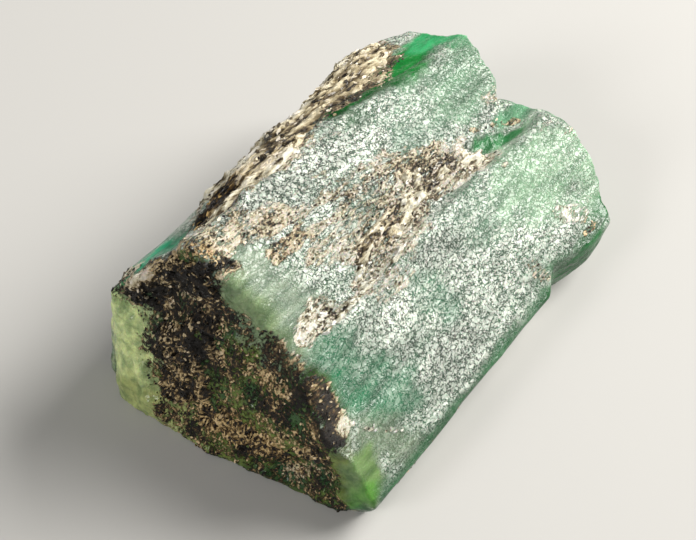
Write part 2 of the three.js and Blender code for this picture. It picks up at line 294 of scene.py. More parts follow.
def ripple(points, size, octaves=3, stretch=(1, 1, 1), seed=0.0):
    """Fractal noise about 0 with lumps of one size (mm), longer along stretched axes."""
    spaced = points / (np.array(stretch) * size) + seed
    return np.array([noise.fractal(p, 0.9, 2.0, octaves) for p in spaced.tolist()])


def ease(values, low, high):
    """0 at low and 1 at high, smooth between; low may be the larger one."""
    share = np.clip((values - low) / (high - low), 0, 1)
    return share * share * (3 - 2 * share)


def reach_of(points, start, end):
    """How far each point is from the line between two places, in millimetres."""
    start, end = np.array(start, float), np.array(end, float)
    along = end - start
    share = np.clip((points - start) @ along / max(along @ along, 1e-9), 0, 1)
    return np.linalg.norm(points - (start + share[:, None] * along), axis=1)


WHOLE_WITHIN = 0.5
GONE_BEYOND = 1.3


def near(points, start, end, reach, wander=0.0):
    """1 for points on the line between two places, falling to 0 a little beyond its reach."""
    return ease(reach_of(points, start, end) / reach + wander, GONE_BEYOND, WHOLE_WITHIN)


def apply_modifiers(piece):
    """Replaces a piece's mesh by what its modifiers make of it."""
    bpy.context.view_layer.update()
    shaped = piece.evaluated_get(bpy.context.evaluated_depsgraph_get())
    finished = bpy.data.meshes.new_from_object(shaped)
    piece.modifiers.clear()
    piece.data = finished
    return piece


SMOOTHING = 0.5


def fine_piece(name, mesh, voxel, rounding):
    """A piece of even faces of one voxel (mm) from a closed mesh, rounded by smoothing steps."""
    piece = bpy.data.objects.new(name, mesh)
    scene.collection.objects.link(piece)
    remesh = piece.modifiers.new("remesh", "REMESH")
    remesh.mode = "VOXEL"
    remesh.voxel_size = voxel * MM
    remesh.use_smooth_shade = True
    smooth = piece.modifiers.new("round", "SMOOTH")
    smooth.factor = SMOOTHING
    smooth.iterations = rounding
    return apply_modifiers(piece)


CRUST_NODES = ["mica_crust_end", "mica_crust_flank", "mica_crust_seam"]
solid_meshes = {node: merged_copy(node) for node in ["emerald_crystal", *CRUST_NODES]}
solid_trees = {node: searcher(mesh) for node, mesh in solid_meshes.items()}
print({node: len(mesh.polygons) for node, mesh in solid_meshes.items()})

# %% [markdown]
# ## The beryl body
# The mica crusts are thin and torn, and green beryl shows between their grains. So the beryl body
# also runs on under the crusts, a little below their surface: the crust solids are grown into the
# bed that they lie in, joined with the crystal, and the whole is remeshed as one stone. The rim of
# the near end is worn round and smooth. A second smoothing does that, only where a vertex group
# says so.

# %% Beryl body
BED_GAP = 0.2
BED_GROWTH = 0.2
BERYL_VOXEL = 0.125
BERYL_ROUNDING = 10

whole = bmesh.new()
whole.from_mesh(solid_meshes["emerald_crystal"])
for node in CRUST_NODES:
    filler = solid_meshes[node].copy()
    corners = points_of(filler)
    in_bed = distance(corners, solid_trees["emerald_crystal"]) < BED_GAP
    place_points(filler, corners + BED_GROWTH * in_bed[:, None] * normals_of(filler))
    whole.from_mesh(filler)
whole_mesh = bpy.data.meshes.new("whole_stone")
whole.to_mesh(whole_mesh)
whole.free()
beryl = fine_piece("beryl_crystal", whole_mesh, BERYL_VOXEL, BERYL_ROUNDING)
print(beryl.name, len(beryl.data.polygons), "faces")

WORN_PLACES = [
    # start, end, reach
    ((-9.0, 0.6, 9.1), (-8.5, -2.6, 7.1), 1.6),
    ((-9.5, 0.2, 8.0), (-9.6, -3.8, 5.6), 1.3),
]
WORN_STEPS = 140
LEAST_WEAR = 0.01
worn = np.max([near(points_of(beryl.data), *place) for place in WORN_PLACES], axis=0)
group = beryl.vertex_groups.new(name="worn_corner")
for index in np.flatnonzero(worn > LEAST_WEAR).tolist():
    group.add([index], float(worn[index]), "REPLACE")
wear = beryl.modifiers.new("wear", "SMOOTH")
wear.factor = SMOOTHING
wear.iterations = WORN_STEPS
wear.vertex_group = group.name
apply_modifiers(beryl)
print("worn corner:", int((worn > LEAST_WEAR).sum()), "points")

# %% [markdown]
# ## Relief of the beryl
# Prism faces of natural beryl are streaked along the crystal and gently uneven. The breaks across
# the ends are hackly. Where a crust lies, the body sinks below it. Each of these is a noise with
# its own size, in millimetres, and moves the points along the way they face.

# %% Beryl relief
UNEVENNESS = 0.05
STREAK_HEIGHT = 0.035
HACKLE_HEIGHT = 0.08
TORN_HEIGHT = 0.06
CRUST_GROOVE = 0.12
RELIEF_LIMITS = (-0.35, 0.12)

points = points_of(beryl.data)
facing = normals_of(beryl.data)
to_crust = distance(points, *[solid_trees[node] for node in CRUST_NODES])
prism_face = ease(np.abs(facing[:, 0]), 0.62, 0.32)
torn = ease(to_crust + 0.35 * ripple(points, 0.9, 3, (2, 1, 1), 5.0), 1.1, 0.1)

relief = UNEVENNESS * ripple(points, 1.6, 3, (2.5, 1, 1))
relief += prism_face * STREAK_HEIGHT * ripple(points, 0.5, 3, (7, 1, 1), 3.0)
relief += (1 - prism_face) * HACKLE_HEIGHT * ripple(points, 0.7, 4, (1, 1, 1), 9.0)
relief += torn * TORN_HEIGHT * ripple(points, 0.35, 3, (2.5, 1, 1), 2.0)
relief -= CRUST_GROOVE * ease(to_crust, 0.25, 0.0)
relief = np.clip(relief, *RELIEF_LIMITS)
moved = points + relief[:, None] * facing
moved[:, 2] = np.maximum(moved[:, 2], 0.0)
place_points(beryl.data, moved)
print("relief", relief.min().round(3), "to", relief.max().round(3), "mm")

# %% [markdown]
# ## Tones of the mica
# The matrix is nearly black on the broken end, bronze and tan on the far edge, cream in the seam.
# One rule gives the tone of any place, 0 for black and 1 for silver, and the beryl's own stains
# use it too, so a crust and the specks around it match. A second rule says how mixed the grains of
# a place are: most of the matrix is pepper and salt, but its far edge is one even beige.

# %% A tone for every place
TONE_PLACES = [
    # start, end, reach, tone, rust
    ((-8.2, 4.6, 8.0), (-4.6, 4.8, 8.0), 1.5, 0.12, 0.9),
    ((-3.4, 4.4, 8.5), (-1.0, 4.2, 8.5), 1.0, 0.52, 0.35),
    ((-0.5, 4.5, 8.2), (8.0, 5.5, 6.9), 1.7, 0.39, 0.25),
    ((-7.6, -2.6, 6.8), (7.6, -1.2, 5.6), 2.0, 0.61, 0.05),
    ((-2.6, -1.6, 6.9), (-0.4, -1.2, 6.8), 0.8, 0.42, 0.2),
    ((2.5, -1.2, 6.5), (7.4, -1.2, 5.8), 0.7, 0.53, 0.1),
    ((1.8, 0.2, 7.4), (4.4, -0.2, 6.8), 0.6, 0.45, 0.2),
    ((7.0, -0.6, 5.9), (9.6, -1.2, 5.0), 0.6, 0.50, 0.35),
    ((-6.2, 0.3, 8.6), (-4.6, 0.4, 8.6), 0.7, 0.46, 0.3),
    ((-7.6, 2.4, 9.7), (-4.6, 1.6, 9.2), 0.9, 0.60, 0.2),
    ((-9.4, 3.4, 8.4), (-9.0, 1.0, 9.2), 1.0, -0.15, 0.5),
    ((-10.9, 3.4, 4.4), (-9.7, 1.3, 6.4), 1.8, 0.10, 0.5),
    ((-11.2, 2.9, 2.7), (-10.6, 1.2, 3.4), 1.1, 0.20, 0.6),
    ((-11.0, 0.5, 1.8), (-10.5, -3.4, 2.4), 1.1, 0.32, 0.7),
    ((-10.2, 4.4, 7.0), (-9.6, 2.8, 7.8), 0.8, -0.05, 0.4),
    ((-9.1, -1.4, 7.0), (-9.4, -3.4, 6.1), 1.1, 0.10, 0.5),
    ((-8.9, -3.9, 6.1), (-9.4, -5.6, 4.6), 0.9, 0.10, 0.5),
    ((-8.1, -2.4, 7.1), (-2.2, -2.4, 6.6), 0.8, 0.61, 0.0),
    # black below the cream ledge: partly dark mica, partly painted shade under the ledge's overhang
    ((-10.4, 6.2, 5.5), (-9.8, 4.2, 7.2), 0.5, -0.10, 0.3),
    ((-10.3, 5.8, 6.7), (-9.7, 4.5, 7.9), 0.45, 0.70, 0.2),
    ((-9.6, 4.4, 8.1), (-8.7, 3.3, 9.3), 0.4, 0.56, 0.5),
    ((-8.8, 2.9, 9.7), (-8.5, 1.9, 9.8), 0.5, 0.44, 0.6),
    ((-8.8, 0.8, 9.5), (-8.2, 0.2, 9.1), 0.5, 0.60, 0.3),
    ((7.4, -5.7, 3.3), (8.4, -6.2, 2.9), 0.9, 0.76, 0.0),
    ((7.8, -6.9, 2.4), (8.8, -6.9, 2.2), 0.5, 0.46, 0.5),
    ((4.3, -7.0, 2.6), (3.9, -6.3, 3.2), 0.8, 0.66, 0.2),
    ((-8.9, -5.4, 4.7), (-6.9, -6.8, 3.0), 0.6, 0.62, 0.0),
    ((-8.0, -7.7, 1.9), (3.1, -7.4, 1.8), 0.6, 0.24, 0.6),
]
EVEN_PLACES = [
    # start, end, reach, share of the mix of tones that is left
    ((1.0, 4.7, 8.0), (8.6, 5.2, 6.9), 1.6, 0.35),
    ((-10.3, 5.8, 6.7), (-9.7, 4.5, 7.9), 0.5, 0.5),
    ((-9.0, -1.5, 7.3), (-9.4, -5.6, 4.6), 0.9, 0.6),
]
USUAL_TONE = 0.55
USUAL_RUST = 0.1
TONE_OF_END = 0.20
RUST_OF_END = 0.6
DRIFT_ON_END = 0.40
DRIFT = 0.22
TONE_WANDER = 0.4
END_LEAN = np.array([1.0, 0.12, -0.29])
END_DEPTH = (-10.9, -11.3)


def on_broken_end(points):
    """1 for points in the slanting plane of the near broken end, 0 for points farther in."""
    return ease(points @ END_LEAN, *END_DEPTH)


def tone_at(points):
    """The mica's tone at each point, and how rusty it is."""
    drift = ripple(points, 1.0, 3, (2.5, 1, 1), 8.0)
    broken = on_broken_end(points)
    tone = USUAL_TONE + broken * (TONE_OF_END - USUAL_TONE)
    rust = USUAL_RUST + broken * (RUST_OF_END - USUAL_RUST)
    for start, end, reach, level, warmth in TONE_PLACES:
        share = near(points, start, end, reach, TONE_WANDER * drift)
        tone += share * (level - tone)
        rust += share * (warmth - rust)
    return tone + (DRIFT + broken * (DRIFT_ON_END - DRIFT)) * drift, rust


def mixed_at(points):
    """How mixed the mica's tones are at each point: 1 for black beside silver, 0 for one tone."""
    mixed = np.ones(len(points))
    for start, end, reach, left in EVEN_PLACES:
        mixed += near(points, start, end, reach) * (left - mixed)
    return mixed


print(len(TONE_PLACES), "places with a tone of their own")

# %% [markdown]
# ## Where the beryl changes colour
# The colour is laid down in named places, each a line between two points with a reach around it,
# in millimetres, whose edge is broken up by noise: a teal hollow beside the seam, a minty far end,
# a deep green strip behind the crest. Mica also stains the beryl around each crust, in specks,
# except on the clean rim of the near end. Everything is stored on the mesh.

# %% Beryl colours
BODY_GREEN = (0.038, 0.118, 0.062)
DARK_GREEN = (0.008, 0.045, 0.021)
END_LIGHT = (0.13, 0.19, 0.038)
END_DARK = (0.022, 0.070, 0.015)
BERYL_PLACES = [
    # start, end, reach, colour, frost with painted sheen
    ((4.0, -3.4, 5.2), (6.0, -4.0, 4.8), 2.0, (0.10, 0.23, 0.14), 0.8),
    ((-10.0, 6.6, 3.4), (11.0, 6.0, 2.6), 3.4, (0.030, 0.135, 0.065), 0.6),
    ((-6.0, 7.2, 2.4), (2.0, 6.8, 2.2), 1.8, (0.045, 0.20, 0.10), 0.3),
    ((6.0, 5.6, 4.4), (11.5, 5.2, 3.6), 1.8, (0.06, 0.25, 0.12), 0.3),
    ((7.0, -3.6, 5.0), (10.8, -4.8, 4.0), 2.6, (0.19, 0.36, 0.21), 0.35),
    ((4.5, 1.5, 7.4), (6.0, 1.5, 7.2), 2.0, (0.07, 0.19, 0.11), 0.75),
    ((7.8, 1.5, 6.8), (11.2, 2.0, 6.6), 2.2, (0.10, 0.24, 0.13), 0.4),
    ((-7.6, -3.2, 6.4), (-6.0, -5.6, 4.2), 1.5, (0.006, 0.14, 0.055), 0.36),
    ((-8.3, -4.4, 5.6), (-7.6, -5.8, 4.2), 0.9, (0.003, 0.13, 0.048), 0.15),
    ((-1.8, -3.8, 5.4), (-1.0, -5.0, 4.4), 0.8, (0.020, 0.15, 0.070), 0.7),
    ((2.5, 4.1, 8.0), (7.4, 4.4, 7.0), 1.15, (0.001, 0.08, 0.010), 0.0),
    ((7.4, 4.4, 7.0), (9.4, 4.4, 6.7), 1.15, (0.002, 0.17, 0.022), 0.0),
    ((10.0, 4.4, 6.6), (11.8, 4.2, 6.2), 1.1, (0.03, 0.32, 0.11), 0.0),
    ((-8.3, 0.6, 9.1), (-8.0, -1.6, 7.8), 1.9, (0.20, 0.285, 0.19), 0.15),
    ((-9.1, 0.3, 8.8), (-8.9, -1.9, 7.5), 1.1, (0.16, 0.25, 0.11), 0.08),
    ((-8.9, -3.6, 6.2), (-9.3, -5.6, 4.7), 0.8, (0.05, 0.10, 0.03), 0.0),
    ((-10.9, 5.9, 4.5), (-11.6, 5.0, 1.5), 2.2, (0.56, 0.70, 0.28), 0.12),
    ((-11.6, 4.8, 1.0), (-11.2, 1.6, 0.6), 1.2, (0.34, 0.42, 0.15), 0.0),
    ((-8.4, -6.0, 3.9), (-7.0, -7.4, 2.2), 1.1, (0.11, 0.18, 0.10), 0.3),
    ((-9.2, -6.6, 3.1), (-9.6, -7.2, 2.2), 0.9, (0.13, 0.23, 0.08), 0.0),
    ((-9.8, -7.3, 2.1), (-10.0, -7.2, 1.6), 0.6, (0.10, 0.27, 0.05), 0.0),
    ((6.7, -1.2, 5.7), (8.9, -1.7, 5.1), 0.5, (0.004, 0.15, 0.03), 0.05),
    ((8.6, -0.8, 5.3), (11.0, -0.8, 4.9), 0.6, (0.08, 0.27, 0.13), 0.12),
    ((-9.2, 6.0, 6.6), (-8.0, 6.0, 6.6), 1.5, (0.004, 0.28, 0.13), 0.0),
    # underside of the right edge and right flank: deep emerald, darkened and left unfrosted as
    # painted shade
    ((-9.0, -7.9, 1.7), (3.5, -7.5, 1.9), 0.7, (0.008, 0.09, 0.025), 0.1),
    ((-9.0, -8.2, 0.6), (4.5, -8.0, 0.6), 1.3, (0.008, 0.09, 0.025), 0.0),
    ((4.8, -7.4, 1.7), (11.0, -6.9, 1.2), 1.5, (0.006, 0.095, 0.02), 0.0),
]
STAIN_PLACES = [
    # start, end, reach, strength
    ((-7.8, 2.4, 9.7), (-4.6, 1.6, 9.2), 1.1, 0.85),
    ((-5.6, 3.4, 9.2), (-0.5, 3.4, 8.9), 0.7, 0.6),
    ((-4.6, 2.0, 9.1), (-1.5, 1.8, 8.7), 0.5, 0.5),
    ((0.2, 3.2, 8.8), (1.0, 3.0, 8.7), 0.6, 0.5),
    ((-6.2, 0.3, 8.6), (-4.6, 0.4, 8.6), 0.6, 0.8),
    ((-4.6, 0.3, 8.5), (-2.4, 0.1, 8.0), 0.35, 0.8),
    ((-4.6, 1.4, 8.8), (-0.6, 0.6, 8.0), 0.45, 0.7),
    ((-4.4, 1.0, 8.6), (0.5, 1.0, 8.2), 0.5, 0.65),
    ((1.9, 0.6, 7.6), (-2.2, 0.1, 7.9), 0.8, 0.75),
    ((-4.6, -0.5, 7.8), (-0.5, -0.6, 7.4), 0.9, 0.6),
    ((-8.1, -2.4, 7.1), (-4.9, -2.2, 6.6), 0.34, 0.95),
    ((-4.9, -2.2, 6.6), (-2.2, -2.4, 6.6), 0.34, 0.95),
    ((-9.1, -1.6, 7.0), (-9.4, -3.4, 6.2), 0.9, 0.74),
    ((-8.9, -3.8, 6.1), (-9.3, -5.5, 4.7), 0.7, 0.85),
    ((7.0, -0.5, 6.0), (9.8, -1.2, 5.0), 0.28, 0.8),
    ((9.2, 0.1, 5.9), (10.8, 0.2, 5.4), 0.6, 0.55),
    ((10.0, -2.7, 5.4), (11.3, -3.4, 4.9), 0.6, 0.4),
    ((7.4, -5.7, 3.3), (8.4, -6.2, 2.9), 0.6, 0.7),
    ((7.8, -6.9, 2.4), (8.8, -6.9, 2.2), 0.45, 0.65),
    ((4.3, -7.0, 2.6), (3.9, -6.3, 3.2), 0.4, 0.75),
    ((-9.0, -5.3, 4.8), (-8.0, -6.1, 3.9), 0.2, 0.65),
    ((-8.6, -5.7, 4.3), (-6.9, -6.8, 3.0), 0.22, 0.7),
    ((-8.0, -7.85, 1.4), (-1.0, -7.8, 1.2), 0.5, 0.8),
    ((-10.3, 5.8, 6.7), (-9.7, 4.5, 7.9), 0.45, 0.9),
    ((-9.6, 4.4, 8.1), (-8.7, 3.3, 9.3), 0.4, 0.9),
]
CLEAN_PLACES = [
    # start, end, reach, share of the mica that is missing
    ((-10.9, 5.9, 4.5), (-11.7, 4.6, 1.6), 1.3, 0.65),
    ((-9.4, -6.4, 3.3), (-9.9, -7.3, 1.8), 1.1, 0.7),
    ((-8.7, 0.2, 8.9), (-8.6, -2.4, 7.4), 0.9, 0.6),
    ((-7.8, -3.4, 6.6), (-4.8, -3.4, 6.6), 0.7, 0.9),
    ((6.6, -1.0, 5.9), (9.4, -1.8, 5.2), 0.7, 0.9),
]
UNDER_CRUST = 0.85
SPECKS_ON_END = 0.68
TINT_WANDER = 0.55
CLEAN_WANDER = 0.5
STAIN_WANDER = 0.6

points = points_of(beryl.data)
wander = ripple(points, 1.1, 4, (2.0, 1, 1), 20.0)
near_end = on_broken_end(points)
clouds = ease(ripple(points, 3.2, 3, (2.5, 1, 1), 11.0), -0.35, 0.45)[:, None]
mottles = ease(ripple(points, 1.3, 4, (1, 1, 1), 13.0), -0.3, 0.35)[:, None]
# frost: the etched white of the prism faces, which also carries a painted sheen of the light on
# them
frost = prism_face.copy()
tint = np.array(DARK_GREEN) + clouds * (np.array(BODY_GREEN) - np.array(DARK_GREEN))
end_tint = np.array(END_DARK) + mottles * (np.array(END_LIGHT) - np.array(END_DARK))
tint += near_end[:, None] * (end_tint - tint)
for start, end, reach, colour, frost_and_sheen_level in BERYL_PLACES:
    share = near(points, start, end, reach, TINT_WANDER * wander)
    tint += share[:, None] * (np.array(colour) - tint)
    frost += share * (frost_and_sheen_level - frost)

stain = UNDER_CRUST * (1 - near_end) * ease(to_crust + 0.6 * wander, 0.9, 0.0)
stain += SPECKS_ON_END * near_end * ease(to_crust + 0.4 * wander, 1.2, 0.2)
for start, end, reach, missing in CLEAN_PLACES:
    stain *= 1 - missing * near(points, start, end, reach, CLEAN_WANDER * wander)
for start, end, reach, strength in STAIN_PLACES:
    stain = np.maximum(stain, strength * near(points, start, end, reach, STAIN_WANDER * wander))


def store(mesh, name, values):
    """Stores one number, or one colour, for each point of a mesh."""
    if values.ndim == 1:
        layer = mesh.attributes.new(name, "FLOAT", "POINT")
        layer.data.foreach_set("value", values.astype(np.float32))
    else:
        layer = mesh.attributes.new(name, "FLOAT_COLOR", "POINT")
        full = np.column_stack([values, np.ones(len(values))])
        layer.data.foreach_set("color", full.astype(np.float32).ravel())


store(beryl.data, "tint", tint)
store(beryl.data, "stain", stain)
store(beryl.data, "frost", frost)
tone, rust = tone_at(points)
store(beryl.data, "tone", tone)
store(beryl.data, "rust", rust)
store(beryl.data, "mixed", mixed_at(points))
print("mean tint", tint.mean(0).round(3), "stained share", (stain > 0.5).mean().round(3))

# %% [markdown]
# ## Finish of the beryl
# Cloudy green beryl: light goes in a little way and comes out greener, so it gets subsurface
# scattering. The etched prism faces are frosted white, and much of that white is painted sheen: the
# grey-white reflection of the light on these faces is painted into the colour, with painted glints
# on some grains. Fine dark scratches wriggle through the frost. A noise crosses its middle value
# along such wriggling lines, so the distance from that value draws them, and two noises cross each
# other. Flat grains a tenth of a millimetre across, each tilted its own way, break the broad
# reflection into a sugary sparkle.

# %% Colour of a mica grain
MICA_TONES = [
    # tone, red, green, blue
    (0.0, 0.005, 0.004, 0.003),
    (0.24, 0.020, 0.015, 0.009),
    (0.38, 0.11, 0.084, 0.046),
    (0.50, 0.36, 0.32, 0.21),
    (0.62, 0.67, 0.64, 0.49),
    (0.82, 0.82, 0.81, 0.70),
    (1.0, 0.90, 0.89, 0.84),
]
FINE_MIX = 1.8
RUST = (1.0, 0.64, 0.20, 1)


def mica_colour(t, tone, chance, fine, sparkle):
    """The colour of a grain from its place's tone, its own chance and a fine noise."""
    mix_of_tones = (chance - 0.5) * sparkle + (fine - 0.5) * FINE_MIX
    level = tone + t.attribute("mixed", 2) * mix_of_tones
    grain = t.node("ShaderNodeValToRGB", {"stops": MICA_TONES}, {0: level})
    return t.mix(t.attribute("rust", 2), grain, t.mix(1.0, grain, RUST, "MULTIPLY"))


# %% Beryl material
DARK_STREAK = (0.55, 0.6, 0.58, 1)
PALE_STREAK = (1.5, 1.35, 1.4, 1)
FROST_AND_SHEEN_WHITE = (0.80, 0.86, 0.76, 1)
SCRATCH_WIDTH = 0.04
CROSSING_WIDTH = 0.036
STONE_IOR = 1.58


def beryl_material():
    material = bpy.data.materials.new("cloudy_beryl")
    material.use_nodes = True
    t = Tree(material.node_tree)
    surface = material.node_tree.nodes["Principled BSDF"]
    place = t.millimetres()
    frost = t.attribute("frost", 2)
    stain = t.attribute("stain", 2)
    streaks = t.noise(place, 0.55, 5, 0.6, stretch=(5, 1, 1))
    patchy = t.noise(place, 1.5, 4, 0.6, stretch=(2, 1, 1), shift=(3, 8, 1))
    fine = t.noise(place, 0.27, 3, 0.6, stretch=(1.5, 1, 1), shift=(7, 1, 3))
    sugar, chance = t.facets(place, 0.085, 0.9, stretch=(1.5, 1, 1))
    shade = t.mix(t.step(streaks, 0.3, 0.7), DARK_STREAK, PALE_STREAK)
    green = t.mix(1.0, t.attribute("tint", 0), shade, "MULTIPLY")
    crossing = t.noise(place, 0.22, 2, 0.5, stretch=(1, 1.5, 1), shift=(2, 9, 4))
    along = t.beside_middle(fine, SCRATCH_WIDTH)
    between_scratches = along * t.beside_middle(crossing, CROSSING_WIDTH)
    # painted sheen: the white is raised in patches, and grains picked by chance get a painted glint
    sheen_haze = 0.42 + 0.56 * t.step(patchy * 0.6 + streaks * 0.4, 0.39, 0.61)
    white_and_sheen = frost * between_scratches * (sheen_haze + 0.25 * t.step(chance, 0.62, 0.75))
    frost_and_sheen_colour = t.mix(white_and_sheen, green, FROST_AND_SHEEN_WHITE)
    fibres = t.noise(place, 0.20, 4, 0.7, stretch=(4, 1, 1), shift=(1, 5, 2))
    grains = mica_colour(t, t.attribute("tone", 2), chance, fibres, 0.7)
    cover = t.step(stain + (fibres - 0.5) * 1.8 + (patchy - 0.5) * 1.3, 0.55, 0.75)
    t.tree.links.new(t.mix(cover, frost_and_sheen_colour, grains).socket, surface.inputs["Base Color"])
    height = sugar * (0.2 + 0.8 * frost) + t.noise(place, 0.5, 4, 0.6, stretch=(3, 1, 1)) * 0.10
    height = height + frost * between_scratches * 0.09 + fibres * cover * 0.16
    t.tree.links.new(t.bump(height).socket, surface.inputs["Normal"])
    gloss = 0.18 + cover * 0.45 + frost * (0.36 - white_and_sheen * 0.22) * (1 - cover)
    t.tree.links.new(gloss.socket, surface.inputs["Roughness"])
    surface.inputs["IOR"].default_value = STONE_IOR
    surface.inputs["Specular IOR Level"].default_value = 0.32
    surface.inputs["Subsurface Weight"].default_value = 0.25
    surface.inputs["Subsurface Radius"].default_value = (0.35, 1.0, 0.6)
    surface.inputs["Subsurface Scale"].default_value = 0.7 * MM
    return material


beryl.data.materials.append(beryl_material())
print("beryl finished")

# %% [markdown]
# ## The mica crusts
# Each crust is a torn layer of small mica plates. Its solid is remeshed finely, roughened by noise
# that runs along the crystal, and let down below the beryl at its rim and in places, so that its
# edge is ragged and green shows through. A thin layer that sinks along its own normals would turn
# inside out, so all of it sinks towards the heart of the stone.

# %% Mica layers
CRUSTS = {
    # node: name, voxel, stretch of the relief, coarse relief, fine relief, how far it lies
    "mica_crust_end": ("schist_on_end", 0.085, (1, 1, 1), 0.26, 0.14, 0.02),
    "mica_crust_flank": ("schist_on_flank", 0.075, (6, 1, 1), 0.32, 0.14, 0.0),
    "mica_crust_seam": ("schist_on_seam", 0.065, (3, 1, 1), 0.40, 0.18, -0.10),
}
MASSES_ON_END = [
    # start, end, reach
    ((-9.4, 3.7, 8.4), (-8.9, 0.9, 9.5), 0.9),
    ((-10.3, 5.2, 6.6), (-9.4, 1.8, 8.4), 0.8),
    ((-9.4, 1.8, 8.3), (-9.6, 1.4, 6.6), 1.0),
    ((-10.8, 3.0, 4.6), (-9.9, 1.8, 5.8), 1.2),
    ((-11.2, 2.6, 2.6), (-10.7, 1.6, 3.4), 1.0),
    ((-11.0, 0.6, 1.7), (-10.7, -2.9, 2.1), 0.8),
    ((-9.05, -1.8, 7.0), (-9.15, -3.2, 6.6), 0.45),
    ((-9.0, -4.0, 6.0), (-9.35, -5.6, 4.6), 0.5),
    ((-10.4, -4.2, 3.0), (-10.0, -6.0, 3.2), 0.4),
]
THIN_PLACES = [
    # start, end, reach, how far the layer sinks
    ((5.5, 4.4, 7.4), (8.6, 5.0, 6.8), 0.7, 0.40),
    ((-3.4, -0.8, 7.4), (1.0, -0.4, 7.2), 0.5, 0.20),
    ((-1.0, -2.4, 6.2), (2.0, -2.2, 6.0), 0.5, 0.20),
    ((5.8, 3.8, 7.6), (8.4, 4.4, 6.9), 0.6, 0.50),
    ((6.5, -0.8, 6.0), (7.7, -1.1, 5.6), 0.55, 0.50),
    ((-8.9, -0.1, 9.4), (-8.7, -3.4, 6.8), 1.4, 1.20),
    ((-10.4, -6.2, 1.8), (-10.2, -7.2, 1.0), 1.4, 0.60),
    ((-11.0, 5.4, 4.6), (-11.5, 4.6, 2.0), 1.0, 0.50),
]
CRUST_ROUNDING = 3
RIDGE_TOP = 0.35
TEAR = 0.35
RIM_SINK = 0.16
SINK_BESIDE_MASSES = 0.5
LIFT_LIMITS = (-0.3, 0.2)
HOLLOW_SHADE_RIDGE_LIGHT = 1.5
HEART = np.array([(-6.5, 0.0, 4.0), (6.0, 0.0, 3.5)])


def way_out(points):
    """The direction to each point from the nearest place on the line at the heart of the stone."""
    start, end = HEART
    share = np.clip((points - start) @ (end - start) / ((end - start) @ (end - start)), 0, 1)
    way = points - (start + share[:, None] * (end - start))
    return way / np.linalg.norm(way, axis=1)[:, None]


mica_pieces = {}
for node, (name, voxel, stretch, coarse, fine, level) in CRUSTS.items():
    piece = fine_piece(name, solid_meshes[node].copy(), voxel, CRUST_ROUNDING)
    points = points_of(piece.data)
    rim = distance(points, solid_trees["emerald_crystal"])
    ridges = RIDGE_TOP - np.abs(ripple(points, 1.0, 3, stretch, 1.0))
    rough = coarse * ridges + fine * ripple(points, 0.3, 3, stretch, 4.0)
    torn_edge = TEAR * ripple(points, 0.8, 4, stretch, 6.0)
    thick = np.ones(len(points))
    if node == "mica_crust_end":
        thick = np.max([near(points, *mass, torn_edge) for mass in MASSES_ON_END], axis=0)
    sink = RIM_SINK * ease(rim, 0.5, 0.05) + SINK_BESIDE_MASSES * (1 - thick)
    for start, end, reach, depth in THIN_PLACES:
        sink += depth * near(points, start, end, reach, torn_edge)
    lift = np.clip(level + rough, *LIFT_LIMITS)
    moved = points + lift[:, None] * normals_of(piece.data) - sink[:, None] * way_out(points)
    moved[:, 2] = np.maximum(moved[:, 2], 0.0)
    place_points(piece.data, moved)
    tone, rust = tone_at(points)
    # painted shade and light: the tone follows the relief, darker in its hollows and lighter on its
    # ridges
    store(piece.data, "tone", tone + HOLLOW_SHADE_RIDGE_LIGHT * rough)
    store(piece.data, "rust", rust)
    mixed = mixed_at(points)
    store(piece.data, "mixed", mixed)
    store(piece.data, "cover", mixed * ease(rim, 0.05, 0.4) * ease(sink, 0.35, 0.15))
    mica_pieces[node] = piece
    print(name, len(piece.data.polygons), "faces, highest ridge", rough.max().round(2), "mm")

# %% [markdown]
# ## Mica plates
# Mica splits into thin six-sided plates. A geometry rule strews them over each layer: they lie
# roughly along the crystal, lean a little each its own way, and keep the tone of the place they
# stand on, give or take.

# %% A rule that strews plates
PLATE_THICKNESS = 0.16
SMALLEST, LARGEST = 0.45, 1.3
PLATE_DARKER = 0.30
PLATE_SPREAD = 1.1


